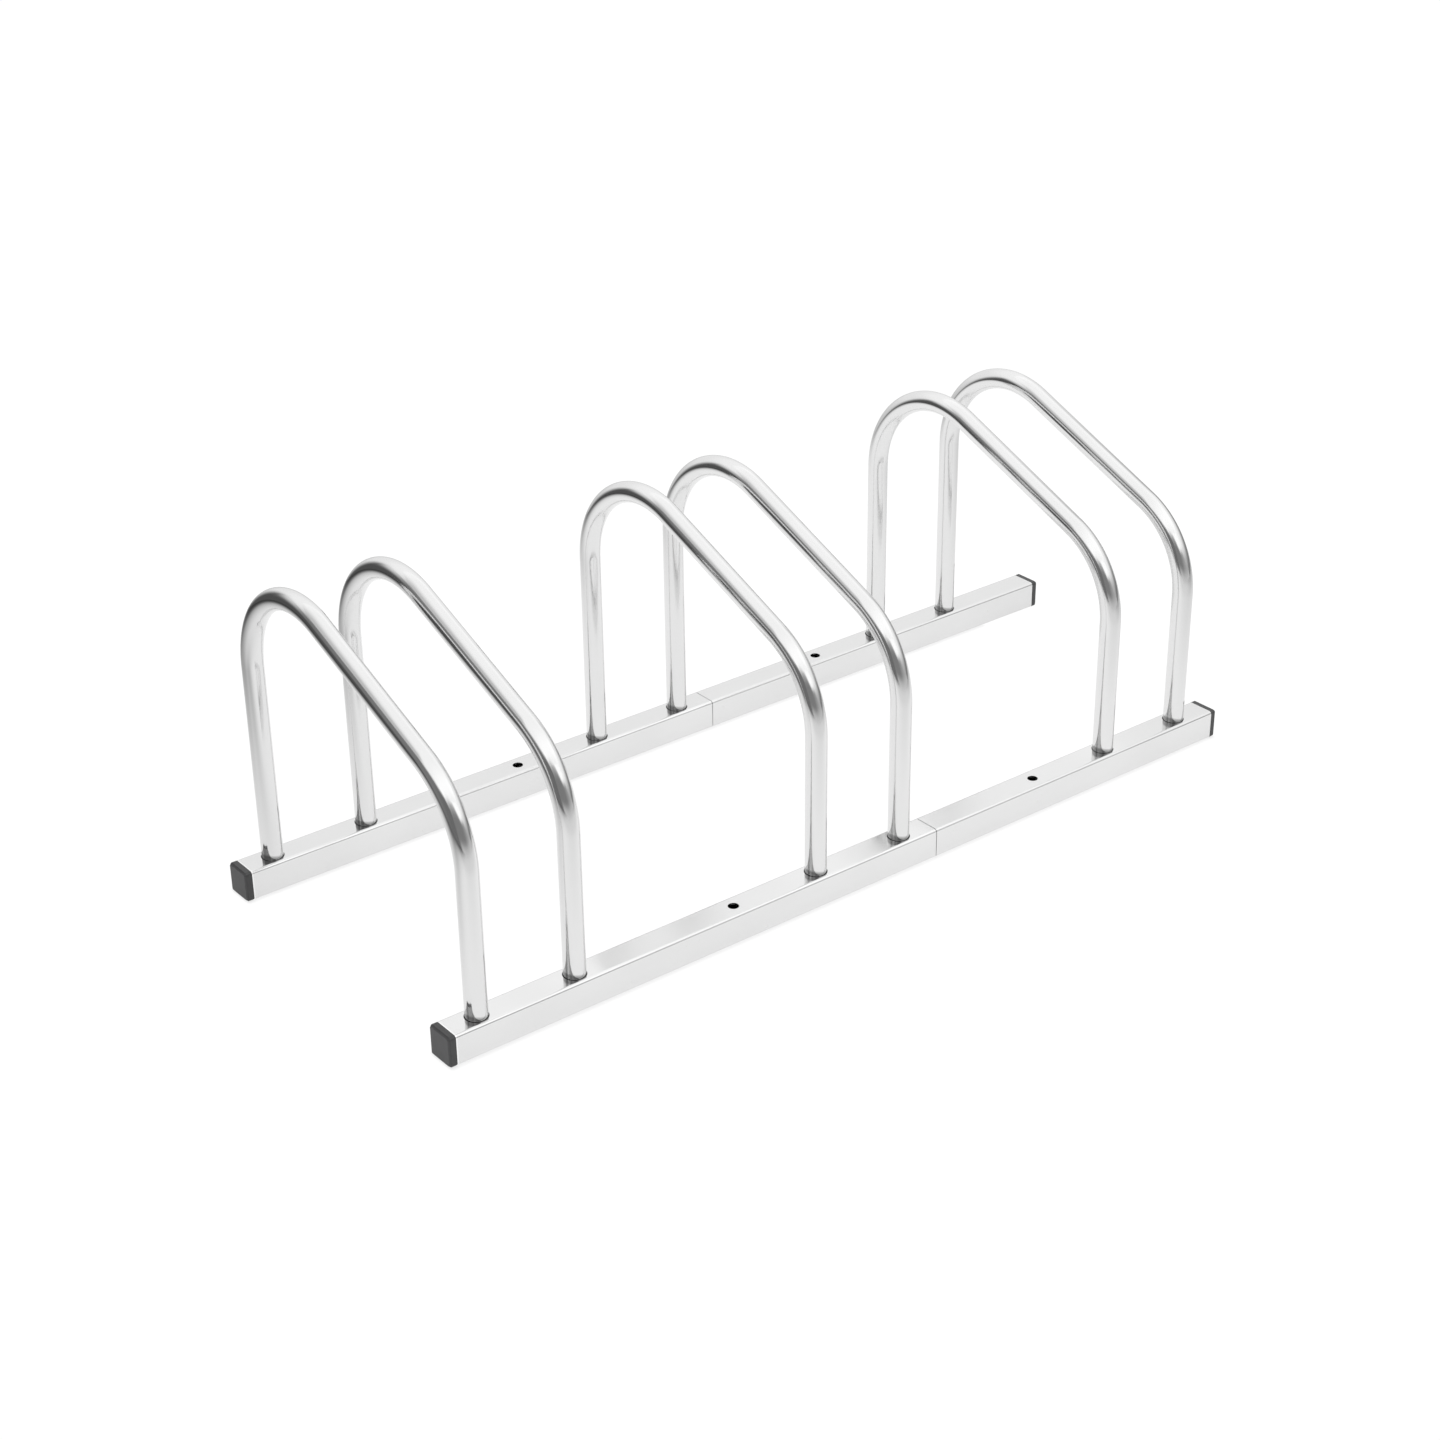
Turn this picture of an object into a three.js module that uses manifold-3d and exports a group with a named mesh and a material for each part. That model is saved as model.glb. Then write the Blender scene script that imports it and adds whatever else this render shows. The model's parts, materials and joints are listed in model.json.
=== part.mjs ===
// Floor bike rack with three wheel bays, in millimetres.
// +X runs along the rails, +Y from the front rail to the back rail, +Z up.
// The origin lies on the floor, at the centre of the rack's footprint.
import * as THREE from 'three';
import { mergeVertices } from 'three/addons/utils/BufferGeometryUtils.js';
import Module from 'manifold-3d';

const wasm = await Module();
wasm.setup();

// ---------------------------------------------------------------- driving dimensions

// Rails: square steel tube, each rail in a long and a short segment
const railSize = 25;
const railWall = 1.5;
const railCornerRadius = 2.6;
const railSpacing = 284;           // between the centre lines of the two rails
const nearEndInset = 25.4;         // from the rails' near ends to the first hoop's plane
const seamInset = 29;              // from the last hoop of a long segment to its far end
const frontRailOverhang = 33.9;    // far end of the front rail, past the last hoop
const backRailOverhang = 100.4;    // far end of the back rail, past the last hoop
const seamGap = 0.4;               // fine joint line between two segments

// Hoops: bent round tube, in pairs that hold a wheel between them
const hoopDiameter = 17;
const hoopWall = 1.5;
const slotSpacing = 84;            // between the two hoops of a pair
const bayPitch = 309;              // from one pair to the next
const longSegmentBays = 2;
const shortSegmentBays = 1;
const frontLegHeight = 140;        // height at which the front bend starts
const frontBendRadius = 74.5;      // to the tube's centre line
const topBendRadius = 79;
const slopeAngle = THREE.MathUtils.degToRad(22);

// Ground anchor holes, on the rails' centre lines
const anchorHoleDiameter = 8.5;
const anchorHoleLead = 80;         // from an anchor hole to the next pair of hoops
const backFarAnchorLead = 70.5;    // the same for the far hole of the back rail

// End caps: plastic plugs pushed into the rails
const capFlange = 5.8;
const capBevel = 1.6;
const capStemLength = 14;
const capStemWall = 2;

// Joiner sleeves inside the rails
const joinerWall = 1.5;
const joinerLegClearance = 3;      // between a joiner and the last leg of the long segment
const joinerReach = 42;            // into the short segment
const joinerScrewInset = 8;        // from a joiner's end to its screw

// Threaded plugs in the legs, and the countersunk screws that hold the hoops
const screwDiameter = 6;
const screwHeadDiameter = 12;
const screwLength = 16;
const plugLength = 12;
const socketAcrossFlats = 4;
const socketDepth = 1.8;

// Short countersunk screws in the joiners
const joinerScrewDiameter = 4;
const joinerScrewHeadDiameter = 7.6;
const joinerScrewLength = 8;
const joinerSocketAcrossFlats = 2.5;
const joinerSocketDepth = 1.2;

// Clearances and small standard details
const fitGap = 0.3;                // between pieces that sit in or on each other
const insertCornerRadius = 1;      // outer corners of what goes inside a rail
const headRim = 0.4;               // straight edge of a countersunk head
const headRecess = 0.2;            // screw heads stay this far inside the rail's underside
const cutMargin = 1;               // cutting tools run this far past what they cut

// Facets of the round shapes
const hoopSides = 14;
const hoopBoreSides = 8;
const frontBendSteps = 7;
const topBendSteps = 10;
const legHoleSides = 16;
const smallRoundSides = 10;
const socketSides = 6;
const cornerCurveSegments = 2;     // a rounded corner gets twice as many facets

// ---------------------------------------------------------------- derived sizes

const hoopRadius = hoopDiameter / 2;
const hoopBoreRadius = hoopRadius - hoopWall;
const hoopCount = 2 * (longSegmentBays + shortSegmentBays);
const legHoleRadius = hoopRadius + fitGap;
const legFootHeight = railWall + fitGap;
const railBore = railSize - 2 * railWall;

const lastLongHoopPlace = nearEndInset + (longSegmentBays - 1) * bayPitch + slotSpacing;
const longSegmentLength = lastLongHoopPlace + seamInset;
const shortSegmentStart = longSegmentLength + seamGap;
const lastHoopPlace = nearEndInset + (hoopCount / 2 - 1) * bayPitch + slotSpacing;
const frontRailEnd = lastHoopPlace + frontRailOverhang;
const backRailEnd = lastHoopPlace + backRailOverhang;

// The rails' near ends, so that the footprint is centred on the origin
const railStart = -Math.max(frontRailEnd, backRailEnd) / 2;

// Distances of the hoops from the rails' near ends
const hoopPlaces = Array.from(
  { length: hoopCount },
  (_, index) => nearEndInset + Math.floor(index / 2) * bayPitch + (index % 2) * slotSpacing,
);

// ---------------------------------------------------------------- finishes

const finishes = {
  rail: { color: 0xd9dadb, roughness: 0.24, metalness: 1 },
  hoop: { color: 0xd2d3d4, roughness: 0.18, metalness: 1 },
  joiner: { color: 0xb4b6b8, roughness: 0.4, metalness: 1 },
  plug: { color: 0xa8a9ab, roughness: 0.45, metalness: 1 },
  screw: { color: 0xbfc0c2, roughness: 0.3, metalness: 1 },
  cap: { color: 0x3c3c3e, roughness: 0.55, metalness: 0 },
};

// ---------------------------------------------------------------- shape helpers

function toSolid(geometry) {
  const bare = geometry.clone();
  bare.deleteAttribute('normal');
  bare.deleteAttribute('uv');
  const merged = mergeVertices(bare);
  return new wasm.Manifold(new wasm.Mesh({
    numProp: 3,
    vertProperties: new Float32Array(merged.attributes.position.array),
    triVerts: new Uint32Array(merged.index.array),
  }));
}

function toGeometry(solid) {
  const mesh = solid.getMesh();
  const geometry = new THREE.BufferGeometry();
  geometry.setAttribute('position', new THREE.BufferAttribute(mesh.vertProperties, 3));
  geometry.setIndex(new THREE.BufferAttribute(mesh.triVerts, 1));
  geometry.computeVertexNormals();
  return geometry;
}

// A regular polygon whose corners lie on the circle of the given radius
function polygon(radius, sides) {
  const corners = Array.from({ length: sides }, (_, index) => {
    const angle = (2 * Math.PI * index) / sides;
    return new THREE.Vector2(radius * Math.cos(angle), radius * Math.sin(angle));
  });
  return new THREE.Shape(corners);
}

// The radius of a polygon that a round of the given radius just passes through
function clearingRadius(radius, sides) {
  return radius / Math.cos(Math.PI / sides);
}

// A square with rounded corners, centred on the origin
function roundedSquare(size, radius) {
  const half = size / 2;
  const straight = half - radius;
  const shape = new THREE.Shape();
  shape.absarc(straight, straight, radius, 0, Math.PI / 2);
  shape.absarc(-straight, straight, radius, Math.PI / 2, Math.PI);
  shape.absarc(-straight, -straight, radius, Math.PI, 1.5 * Math.PI);
  shape.absarc(straight, -straight, radius, 1.5 * Math.PI, 2 * Math.PI);
  shape.closePath();
  return shape;
}

// Extrudes a section drawn in (Y, Z) along +X from x = 0
function extrudeAlongX(shape, length, bevel = {}) {
  const geometry = new THREE.ExtrudeGeometry(shape, {
    depth: length,
    curveSegments: cornerCurveSegments,
    bevelEnabled: false,
    ...bevel,
  });
  const lying = new THREE.Matrix4().makeBasis(
    new THREE.Vector3(0, 1, 0),
    new THREE.Vector3(0, 0, 1),
    new THREE.Vector3(1, 0, 0),
  );
  return geometry.applyMatrix4(lying);
}

// A square tube along +X, centred on the X axis, with a sharp-cornered bore
function squareTube(size, wall, cornerRadius, length) {
  const section = roundedSquare(size, cornerRadius);
  const half = size / 2 - wall;
  section.holes.push(new THREE.Path([
    new THREE.Vector2(-half, -half),
    new THREE.Vector2(half, -half),
    new THREE.Vector2(half, half),
    new THREE.Vector2(-half, half),
  ]));
  return extrudeAlongX(section, length);
}

// An upright round body between two heights, straight or tapered
function uprightRound(lowRadius, highRadius, low, high, sides) {
  const geometry = new THREE.CylinderGeometry(highRadius, lowRadius, high - low, sides);
  geometry.rotateX(Math.PI / 2);
  geometry.translate(0, 0, (low + high) / 2);
  return geometry;
}

function uprightCut(place, lowRadius, highRadius, low, high, sides) {
  return toSolid(uprightRound(
    clearingRadius(lowRadius, sides),
    clearingRadius(highRadius, sides),
    low,
    high,
    sides,
  )).translate(place, 0, 0);
}

// ---------------------------------------------------------------- screws

// A countersunk screw that points up, with its head's face at z = 0 and a socket in it
function countersunkScrew(diameter, headDiameter, length, acrossFlats, depth) {
  const radius = diameter / 2;
  const headRadius = headDiameter / 2;
  const tipTaper = radius / 3;
  const profile = [
    new THREE.Vector2(0, 0),
    new THREE.Vector2(headRadius, 0),
    new THREE.Vector2(headRadius, headRim),
    new THREE.Vector2(radius, headRim + headRadius - radius),
    new THREE.Vector2(radius, length - tipTaper),
    new THREE.Vector2(radius - tipTaper, length),
    new THREE.Vector2(0, length),
  ];
  const body = new THREE.LatheGeometry(profile, smallRoundSides);
  body.rotateX(Math.PI / 2);
  const socket = uprightRound(
    clearingRadius(acrossFlats / 2, socketSides),
    clearingRadius(acrossFlats / 2, socketSides),
    -cutMargin,
    depth,
    socketSides,
  );
  return toGeometry(toSolid(body).subtract(toSolid(socket)));
}

// The matching countersunk hole through a rail's lower wall
function countersunkCut(place, headDiameter) {
  const low = -cutMargin;
  const high = railWall + cutMargin;
  const radiusAt = (height) => headDiameter / 2 + headRim + headRecess - height + fitGap;
  const cone = uprightCut(place, radiusAt(low), radiusAt(high), low, high, smallRoundSides);
  const rim = headDiameter / 2 + fitGap;
  const limit = uprightCut(place, rim, rim, low, high, smallRoundSides);
  return cone.intersect(limit);
}

function headHeight(diameter, headDiameter) {
  return headRecess + headRim + (headDiameter - diameter) / 2;
}

// ---------------------------------------------------------------- pieces

// One rail segment, with its near end at x = 0 and its underside at z = 0.
// All places are measured along the segment.
function railSegment(length, legPlaces, anchorPlace, joinerScrewPlace) {
  const tube = squareTube(railSize, railWall, railCornerRadius, length);
  tube.translate(0, 0, railSize / 2);
  let solid = toSolid(tube);
  for (const place of legPlaces) {
    solid = solid.subtract(uprightCut(
      place, legHoleRadius, legHoleRadius, railSize / 2, railSize + cutMargin, legHoleSides,
    ));
    solid = solid.subtract(countersunkCut(place, screwHeadDiameter));
  }
  const anchorRadius = anchorHoleDiameter / 2;
  solid = solid.subtract(uprightCut(
    anchorPlace, anchorRadius, anchorRadius, -cutMargin, railSize + cutMargin, smallRoundSides,
  ));
  solid = solid.subtract(countersunkCut(joinerScrewPlace, joinerScrewHeadDiameter));
  return toGeometry(solid);
}

// Distances along the rails at which the joiner begins and ends
const joinerStart = lastLongHoopPlace + hoopRadius + joinerLegClearance;
const joinerEnd = shortSegmentStart + joinerReach;
const joinerScrewPlaces = [joinerStart + joinerScrewInset, joinerEnd - joinerScrewInset];

// The sleeve inside the seam, with its near end at x = 0 and the rail's underside at z = 0
function joinerSleeve() {
  const sleeve = squareTube(
    railBore - 2 * fitGap, joinerWall, insertCornerRadius, joinerEnd - joinerStart,
  );
  sleeve.translate(0, 0, railSize / 2);
  let solid = toSolid(sleeve);
  for (const place of joinerScrewPlaces) {
    const radius = joinerScrewDiameter / 2 + fitGap;
    solid = solid.subtract(uprightCut(
      place - joinerStart, radius, radius, 0, railSize / 2, smallRoundSides,
    ));
    solid = solid.subtract(
      toSolid(uprightRound(
        joinerScrewHeadDiameter / 2 + fitGap,
        radius,
        0,
        headHeight(joinerScrewDiameter, joinerScrewHeadDiameter) + fitGap,
        smallRoundSides,
      )).translate(place - joinerStart, 0, 0),
    );
  }
  return toGeometry(solid);
}

// An end cap whose flange covers a rail's end at x = 0 and whose stem goes in towards +X
function endCap() {
  const outline = roundedSquare(railSize, railCornerRadius);
  const plate = toSolid(extrudeAlongX(outline, 2 * (capFlange - capBevel), {
    bevelEnabled: true,
    bevelThickness: capBevel,
    bevelSize: capBevel,
    bevelOffset: -capBevel,
    bevelSegments: 1,
  })).translate(-capFlange + capBevel, 0, 0);
  const behind = new THREE.BoxGeometry(2 * capFlange, 2 * railSize, 2 * railSize);
  behind.translate(capFlange, 0, 0);
  const flange = plate.subtract(toSolid(behind));
  const stem = squareTube(
    railBore - 2 * fitGap, capStemWall, insertCornerRadius, capStemLength + capFlange / 2,
  );
  stem.translate(-capFlange / 2, 0, 0);
  return toGeometry(flange.add(toSolid(stem)));
}

// The hoop's centre line in the plane x = 0, with the front leg at y = -railSpacing / 2.
// Each straight takes one step and each bend takes several.
class HoopCentreLine extends THREE.Curve {
  constructor() {
    super();
    const halfSpacing = railSpacing / 2;
    const frontCentreY = -halfSpacing + frontBendRadius;
    const topCentreY = halfSpacing - topBendRadius;
    const turn = Math.PI / 2 + slopeAngle;
    const slopeStart = {
      y: frontCentreY + frontBendRadius * Math.cos(turn),
      z: frontLegHeight + frontBendRadius * Math.sin(turn),
    };
    const slopeEndY = topCentreY + topBendRadius * Math.cos(turn);
    const slopeEndZ = slopeStart.z + (slopeEndY - slopeStart.y) * Math.tan(slopeAngle);
    const topCentreZ = slopeEndZ - topBendRadius * Math.sin(turn);
    const line = (fromY, fromZ, toY, toZ) => (t) => [
      fromY + (toY - fromY) * t,
      fromZ + (toZ - fromZ) * t,
    ];
    const arc = (centreY, centreZ, radius, from, to) => (t) => [
      centreY + radius * Math.cos(from + (to - from) * t),
      centreZ + radius * Math.sin(from + (to - from) * t),
    ];
    this.sections = [
      { steps: 1, at: line(-halfSpacing, legFootHeight, -halfSpacing, frontLegHeight) },
      { steps: frontBendSteps, at: arc(frontCentreY, frontLegHeight, frontBendRadius, Math.PI, turn) },
      { steps: 1, at: line(slopeStart.y, slopeStart.z, slopeEndY, slopeEndZ) },
      { steps: topBendSteps, at: arc(topCentreY, topCentreZ, topBendRadius, turn, 0) },
      { steps: 1, at: line(halfSpacing, topCentreZ, halfSpacing, legFootHeight) },
    ];
    this.steps = this.sections.reduce((sum, section) => sum + section.steps, 0);
  }

  getPoint(t, target = new THREE.Vector3()) {
    let step = t * this.steps;
    let index = 0;
    while (index < this.sections.length - 1 && step > this.sections[index].steps) {
      step -= this.sections[index].steps;
      index += 1;
    }
    const [y, z] = this.sections[index].at(step / this.sections[index].steps);
    return target.set(0, y, z);
  }

  getUtoTmapping(u) {
    return u;
  }
}

function hoopTube() {
  const section = polygon(hoopRadius, hoopSides);
  section.holes.push(polygon(hoopBoreRadius, hoopBoreSides));
  const centreLine = new HoopCentreLine();
  return new THREE.ExtrudeGeometry(section, {
    extrudePath: centreLine,
    steps: centreLine.steps,
    bevelEnabled: false,
  });
}

// The threaded insert in a leg, above the screw's head
const plugFoot = headHeight(screwDiameter, screwHeadDiameter) + fitGap;

function threadedPlug() {
  const outerRadius = hoopBoreRadius * Math.cos(Math.PI / hoopBoreSides) - fitGap;
  const body = uprightRound(
    outerRadius, outerRadius, plugFoot, plugFoot + plugLength, smallRoundSides,
  );
  const thread = screwDiameter / 2 + fitGap;
  const bore = uprightCut(0, thread, thread, 0, plugFoot + plugLength + cutMargin, smallRoundSides);
  return toGeometry(toSolid(body).subtract(bore));
}

// ---------------------------------------------------------------- assembly

const rack = new THREE.Group();
rack.name = 'floor_bike_rack';

function addPiece(parent, name, geometry, finish, x = 0, y = 0, z = 0) {
  const mesh = new THREE.Mesh(geometry, new THREE.MeshStandardMaterial(finishes[finish]));
  mesh.name = name;
  mesh.position.set(x, y, z);
  parent.add(mesh);
  return mesh;
}

const joinerGeometry = joinerSleeve();
const capGeometry = endCap();
const joinerScrewGeometry = countersunkScrew(
  joinerScrewDiameter,
  joinerScrewHeadDiameter,
  joinerScrewLength,
  joinerSocketAcrossFlats,
  joinerSocketDepth,
);

// A complete rail: two segments, the joiner with its screws, and the end caps
function addRail(side, y, railEnd, farAnchorLead) {
  const rail = new THREE.Group();
  rail.position.set(railStart, y, 0);
  rack.add(rail);

  const longPlaces = hoopPlaces.filter((place) => place < longSegmentLength);
  const shortPlaces = hoopPlaces.filter((place) => place > longSegmentLength);
  const nearAnchor = longPlaces[longPlaces.length - 2] - anchorHoleLead;
  const farAnchor = shortPlaces[shortPlaces.length - 2] - farAnchorLead;
  const toShort = (place) => place - shortSegmentStart;

  const longSegment = railSegment(
    longSegmentLength, longPlaces, nearAnchor, joinerScrewPlaces[0],
  );
  const shortSegment = railSegment(
    railEnd - shortSegmentStart,
    shortPlaces.map(toShort),
    toShort(farAnchor),
    toShort(joinerScrewPlaces[1]),
  );
  addPiece(rail, `${side}_rail_long`, longSegment, 'rail');
  addPiece(rail, `${side}_rail_short`, shortSegment, 'rail', shortSegmentStart);
  addPiece(rail, `${side}_rail_joiner`, joinerGeometry, 'joiner', joinerStart);
  joinerScrewPlaces.forEach((place, index) => {
    const name = `${side}_joiner_screw_${index + 1}`;
    addPiece(rail, name, joinerScrewGeometry, 'screw', place, 0, headRecess);
  });

  const middle = railSize / 2;
  addPiece(rail, `${side}_near_end_cap`, capGeometry, 'cap', -fitGap, 0, middle);
  const farCap = addPiece(
    rail, `${side}_far_end_cap`, capGeometry, 'cap', railEnd + fitGap, 0, middle,
  );
  farCap.rotation.z = Math.PI;
}

const hoopGeometry = hoopTube();
const plugGeometry = threadedPlug();
const screwGeometry = countersunkScrew(
  screwDiameter, screwHeadDiameter, screwLength, socketAcrossFlats, socketDepth,
);

// A hoop with the plugs and the screws of its two legs
function addHoop(number, place) {
  const hoop = new THREE.Group();
  hoop.position.set(railStart + place, 0, 0);
  rack.add(hoop);
  addPiece(hoop, `wheel_hoop_${number}`, hoopGeometry, 'hoop');
  for (const [side, y] of [['front', -railSpacing / 2], ['back', railSpacing / 2]]) {
    addPiece(hoop, `hoop_${number}_${side}_threaded_plug`, plugGeometry, 'plug', 0, y);
    addPiece(hoop, `hoop_${number}_${side}_screw`, screwGeometry, 'screw', 0, y, headRecess);
  }
}

addRail('front', -railSpacing / 2, frontRailEnd, anchorHoleLead);
addRail('back', railSpacing / 2, backRailEnd, backFarAnchorLead);
hoopPlaces.forEach((place, index) => addHoop(index + 1, place));

export default rack;
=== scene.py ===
"""A floor bike rack: bright plated steel hoops and rails with dark plastic end caps.

Metres, +X along the rails, +Y from the front rail to the back rail, +Z up.
"""

import json
import math

import bmesh
import bpy
from mathutils import Matrix, Vector


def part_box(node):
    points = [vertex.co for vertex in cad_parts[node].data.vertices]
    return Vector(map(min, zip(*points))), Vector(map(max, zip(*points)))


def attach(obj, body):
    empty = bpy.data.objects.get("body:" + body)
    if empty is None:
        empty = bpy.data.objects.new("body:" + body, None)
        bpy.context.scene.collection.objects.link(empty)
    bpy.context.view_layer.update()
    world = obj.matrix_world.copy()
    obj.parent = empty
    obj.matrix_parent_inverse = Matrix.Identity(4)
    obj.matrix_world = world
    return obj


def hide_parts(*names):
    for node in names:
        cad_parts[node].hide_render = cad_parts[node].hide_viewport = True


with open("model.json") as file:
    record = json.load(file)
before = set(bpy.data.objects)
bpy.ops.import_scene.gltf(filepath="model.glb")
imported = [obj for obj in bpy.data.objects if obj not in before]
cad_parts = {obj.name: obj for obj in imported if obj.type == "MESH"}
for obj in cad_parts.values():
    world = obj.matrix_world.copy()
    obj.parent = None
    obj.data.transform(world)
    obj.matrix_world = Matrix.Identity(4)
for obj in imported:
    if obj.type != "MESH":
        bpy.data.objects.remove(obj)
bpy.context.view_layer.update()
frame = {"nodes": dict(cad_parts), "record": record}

MM = 0.001
DEG = math.pi / 180

# ------------------------------------------------------------------ sizes

# Hoops
TUBE_RADIUS = 8.5 * MM
TUBE_WALL = 1.5 * MM
FRONT_BEND_HEIGHT = 140 * MM
FRONT_BEND_RADIUS = 74.5 * MM
TOP_BEND_RADIUS = 79 * MM
SLOPE = 22 * DEG
TUBE_SIDES = 48
BEND_STEP = 2 * DEG
STRAIGHT_STEP = 12 * MM

# Rails
RAIL_WALL = 1.5 * MM
RAIL_CORNER = 2.6 * MM
CORNER_SEGMENTS = 8
RAIL_EDGE = 0.22 * MM
LEG_HOLE_RADIUS = TUBE_RADIUS + 0.5 * MM
ANCHOR_HOLE_RADIUS = 4.25 * MM
SEAT_OFFSET = 9 * MM  # along the rail, from an anchor hole to the record's mount beside it
HOLE_SIDES = 64
CUT_MARGIN = 2 * MM  # a hole's cutter runs this far past the rail

# End caps
CAP_FLANGE = 5.8 * MM
CAP_PLATE = 4.2 * MM
CAP_FACE_INSET = 1.35 * MM
CAP_EDGE = 0.3 * MM
CAP_SHARP_ANGLE = 15 * DEG
CAP_STEM_WALL = 2 * MM

# Screws
HEAD_RIM = 0.4 * MM
SCREW_SIDES = 40
SCREW_EDGE = 0.08 * MM
HOOP_SCREW = {"shank_share": 1 / 2, "socket_across": 4 * MM, "socket_depth": 1.8 * MM}
JOINER_SCREW = {"shank_share": 2 / 3.8, "socket_across": 2.5 * MM, "socket_depth": 1.2 * MM}

FIT_GAP = 0.3 * MM  # between pieces that sit in each other
SAME_POINT = 0.001 * MM
BEVEL_SEGMENTS = 2
SHARP_ANGLE = 35 * DEG  # edges sharper than this are rounded
SMOOTH_ANGLE = 30 * DEG  # faces that meet at less than this look like one

# Finishes
FOOT_SHADE_HEIGHT = 4 * MM  # a tube's painted shade fades out this far above the rail
# Painted shade at a tube's foot: full below this height, tilted to reach higher on one side
FULL_FOOT_SHADE_HEIGHT = 1.4 * MM
FOOT_SHADE_TILT = 0.22
POLISHED_REACH = 42 * MM
# Width of the painted highlight along the rails' sawn near end
END_HIGHLIGHT_WIDTH = 1.5 * MM
# Width of the caps' outer edge that is worn smoother and darkened with painted shade
WORN_AND_SHADED_EDGE = 1.1 * MM
PATTERN_SHIFT = 10  # gives each hoop its own stretch of the drawing lines

BODY = "root"
HOOP_NUMBERS = range(1, 7)
JOINER_SCREW_NUMBERS = (1, 2)
SIDES = ("front", "back")


# ------------------------------------------------------------------ shader maths


class Signal:
    """A shader socket that takes part in plain arithmetic."""

    def __init__(self, graph, socket):
        self.graph = graph
        self.socket = socket

    def __add__(self, other):
        return self.graph.maths("ADD", self, other)

    def __radd__(self, other):
        return self.graph.maths("ADD", other, self)

    def __sub__(self, other):
        return self.graph.maths("SUBTRACT", self, other)

    def __rsub__(self, other):
        return self.graph.maths("SUBTRACT", other, self)

    def __mul__(self, other):
        return self.graph.maths("MULTIPLY", self, other)

    def __rmul__(self, other):
        return self.graph.maths("MULTIPLY", other, self)


# The Mix node repeats its sockets' names for each kind of value, so its colour sockets go by
# their places.
MIX_SHARE, MIX_FIRST_COLOUR, MIX_SECOND_COLOUR, MIXED_COLOUR = 0, 6, 7, 2


class Graph:
    """Adds nodes to a material's or the world's node tree."""

    def __init__(self, owner):
        owner.use_nodes = True
        self.tree = owner.node_tree
        self.tree.nodes.clear()

    def add(self, kind, settings=None, inputs=None, output=0):
        """Adds a node, sets it, feeds its inputs and gives the chosen output."""
        node = self.tree.nodes.new(kind)
        for name, value in (settings or {}).items():
            setattr(node, name, value)
        for name, value in (inputs or {}).items():
            self.feed(node.inputs[name], value)
        return Signal(self, node.outputs[output]) if node.outputs else node

    def feed(self, socket, value):
        if isinstance(value, Signal):
            self.tree.links.new(value.socket, socket)
        else:
            socket.default_value = value

    def maths(self, operation, *values):
        return self.add("ShaderNodeMath", {"operation": operation}, dict(enumerate(values)))

    def vector_maths(self, operation, *values, output="Vector"):
        inputs = dict(enumerate(values))
        return self.add("ShaderNodeVectorMath", {"operation": operation}, inputs, output)

    def step(self, value, start, end):
        """0 below start, 1 above end, smooth between them. Works with start above end too."""
        inputs = {"Value": value, "From Min": start, "From Max": end}
        return self.add("ShaderNodeMapRange", {"interpolation_type": "SMOOTHSTEP"}, inputs)

    def bell(self, value, middle, reach):
        """1 at the middle, falling smoothly to 0 at the given reach on both sides."""
        away = self.maths("ABSOLUTE", value - middle)
        return self.step(away, reach, 0.0)

    def blend(self, share, low, high):
        return low + (high - low) * share

    def mixed_colour(self, share, first, second):
        """The first colour at a share of 0, the second at 1."""
        inputs = {MIX_SHARE: share, MIX_FIRST_COLOUR: first, MIX_SECOND_COLOUR: second}
        return self.add("ShaderNodeMix", {"data_type": "RGBA"}, inputs, MIXED_COLOUR)

    def bump(self, height, strength, distance):
        inputs = {"Height": height, "Strength": strength, "Distance": distance}
        return self.add("ShaderNodeBump", None, inputs)

    def object_place(self):
        """The place on the object, in metres."""
        return self.add("ShaderNodeTexCoord", None, None, "Object")

    def parts(self, vector):
        """A vector's three numbers."""
        split = self.add("ShaderNodeSeparateXYZ", None, {0: vector})
        return [Signal(self, output) for output in split.socket.node.outputs]

    def rays(self, kind):
        """1 for the rays of this kind, 0 for the others."""
        return self.add("ShaderNodeLightPath", None, None, kind)

    def noise(self, place, stretch, scale, detail=3.0, roughness=0.5):
        """Noise between 0 and 1, drawn out along the axes whose stretch is small."""
        inputs = {
            "Vector": self.vector_maths("MULTIPLY", place, stretch),
            "Scale": scale,
            "Detail": detail,
            "Roughness": roughness,
        }
        return self.add("ShaderNodeTexNoise", None, inputs)

    def surface(self, **inputs):
        """The material's only shader, with each value set on its own socket."""
        shader = self.add("ShaderNodeBsdfPrincipled", None, inputs)
        self.add("ShaderNodeOutputMaterial", None, {"Surface": shader})


def new_material(name):
    material = bpy.data.materials.new(name)
    return material, Graph(material)


def grey(level):
    return (level, level, level, 1)


# ------------------------------------------------------------------ materials


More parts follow.
